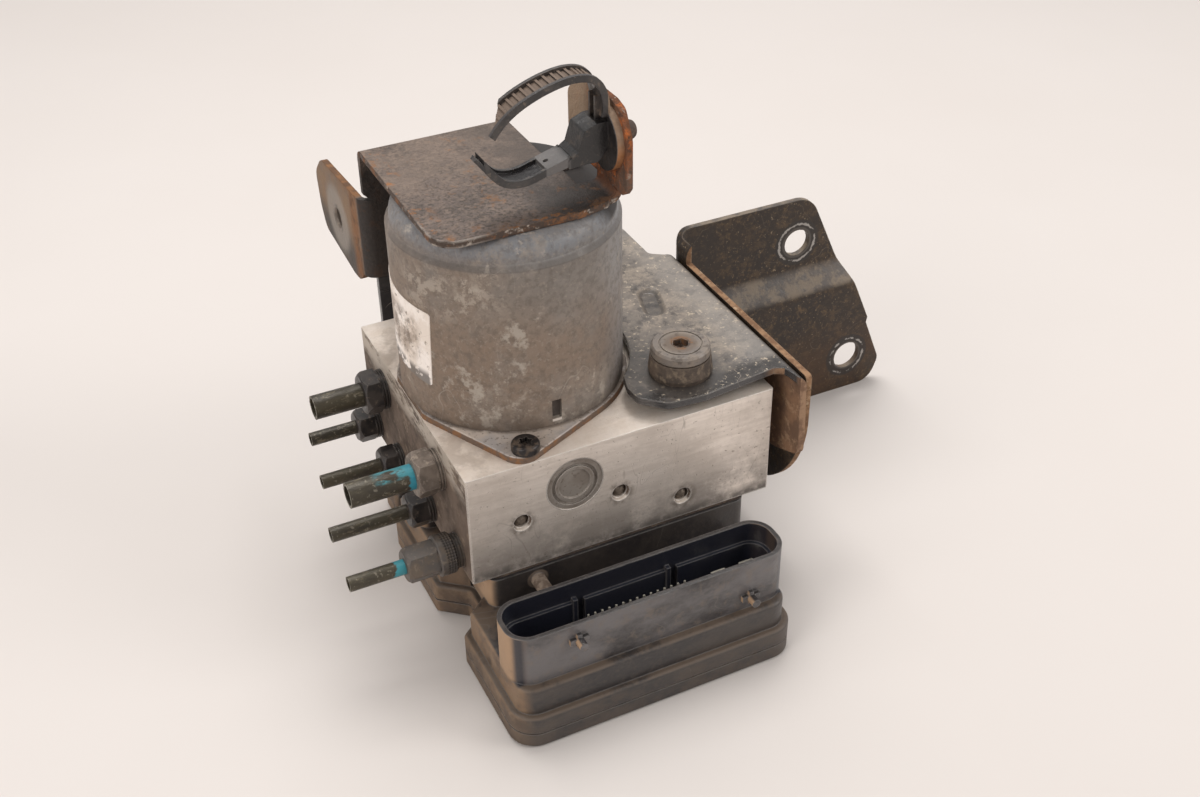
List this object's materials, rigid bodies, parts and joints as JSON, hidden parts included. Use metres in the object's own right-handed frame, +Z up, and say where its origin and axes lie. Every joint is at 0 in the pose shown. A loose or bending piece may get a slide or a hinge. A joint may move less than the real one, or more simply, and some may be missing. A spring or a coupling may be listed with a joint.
{
  "type": "abs brake module",
  "caption": "Anti-lock brake module: aluminium valve block under a round pump motor, on a flat control unit with a plug socket, cut pipe stubs and bent sheet brackets.",
  "frame": {"origin": "on the standing plane, under the motor axis", "axes": "+Z up along the motor axis, -Y towards the plug socket, -X towards the pipe stubs"},
  "size_m": [0.251, 0.184, 0.1905],
  "materials": {
    "block_aluminium": "machined, speckled",
    "plug_aluminium": "turned",
    "bright_steel": "plain",
    "can_zinc": "weathered zinc",
    "black_screw": "black oxide",
    "label_paper": "worn paper",
    "magnet": "plain",
    "inner_plastic": "moulded",
    "copper": "enamelled wire",
    "carbon": "plain",
    "rusty_steel": "mottled with rusty edges",
    "black_sheet": "black coat with dust",
    "wing_sheet": "dark brown-black coat",
    "rubber": "dusty",
    "nylon": "worn",
    "unit_plastic": "satin with dust",
    "seal_rubber": "plain",
    "board": "plain",
    "chips": "plain",
    "contact": "tinned",
    "nut_black": "black oxide",
    "nut_grey": "worn grey",
    "pipe_olive": "olive coat"
  },
  "bodies": {
    "module": {"ball_seals": "bright_steel", "board_parts": "chips", "brush_holder": "inner_plastic", "cable_clip": "nylon", "carbon_brushes": "carbon", "circuit_board": "board", "connector_pins": "contact", "corner_line_nut": "nut_grey", "corner_line_tube": "pipe_olive", "ecu_cover": "unit_plastic", "ecu_housing": "unit_plastic", "ecu_screws": "bright_steel", "ecu_seal": "seal_rubber", "front_inlet_nut": "nut_grey", "front_inlet_tube": "pipe_olive", "front_low_line_nut": "nut_black", "front_low_line_tube": "pipe_olive", "front_mount_screw": "nut_black", "front_rubber_mount": "rubber", "lower_bearing": "bright_steel", "magnets": "magnet", "middle_low_line_nut": "nut_black", "middle_low_line_tube": "pipe_olive", "motor_can": "can_zinc", "motor_connector": "inner_plastic", "motor_flange": "can_zinc", "motor_label": "label_paper", "motor_screws": "black_screw", "pump_plug_front": "plug_aluminium", "pump_plug_rear": "plug_aluminium", "rear_inlet_nut": "nut_black", "rear_inlet_tube": "pipe_olive", "rear_low_line_nut": "nut_black", "rear_low_line_tube": "pipe_olive", "rear_mount_screw": "nut_black", "rear_rubber_mount": "rubber", "side_bracket": "black_sheet", "solenoid_coils": "copper", "store_caps": "plug_aluminium", "tab_weld_nut": "nut_grey", "top_bearing": "bright_steel", "top_bracket": "rusty_steel", "valve_block": "block_aluminium", "valve_cartridges": "bright_steel", "wing_bracket": "wing_sheet"},
    "rotor": {"motor_shaft": "bright_steel", "eccentric_ring": "bright_steel", "armature_core": "magnet", "armature_windings": "copper", "commutator": "copper"},
    "front_pump": {"front_piston": "bright_steel"},
    "rear_pump": {"rear_piston": "bright_steel"},
    "left_store": {"left_store_piston": "plug_aluminium"},
    "right_store": {"right_store_piston": "plug_aluminium"}
  },
  "joints": [
    {"name": "rotor_spin", "type": "hinge", "parent": "module", "child": "rotor", "pos_m": [0, 0, 0.1], "axis": [0, 0, 1], "continuous": true},
    {"name": "front_pump_slide", "type": "slide", "parent": "module", "child": "front_pump", "axis": [0, -1, 0], "range_m": [0, 0.0024], "stiffness_N_per_m": 1500, "springref_m": -0.002},
    {"name": "rear_pump_slide", "type": "slide", "parent": "module", "child": "rear_pump", "axis": [0, 1, 0], "range_m": [0, 0.0024], "stiffness_N_per_m": 1500, "springref_m": -0.002},
    {"name": "left_store_slide", "type": "slide", "parent": "module", "child": "left_store", "axis": [0, 0, -1], "range_m": [0, 0.0055], "stiffness_N_per_m": 400, "springref_m": -0.003},
    {"name": "right_store_slide", "type": "slide", "parent": "module", "child": "right_store", "axis": [0, 0, -1], "range_m": [0, 0.0055], "stiffness_N_per_m": 400, "springref_m": -0.003}
  ]
}
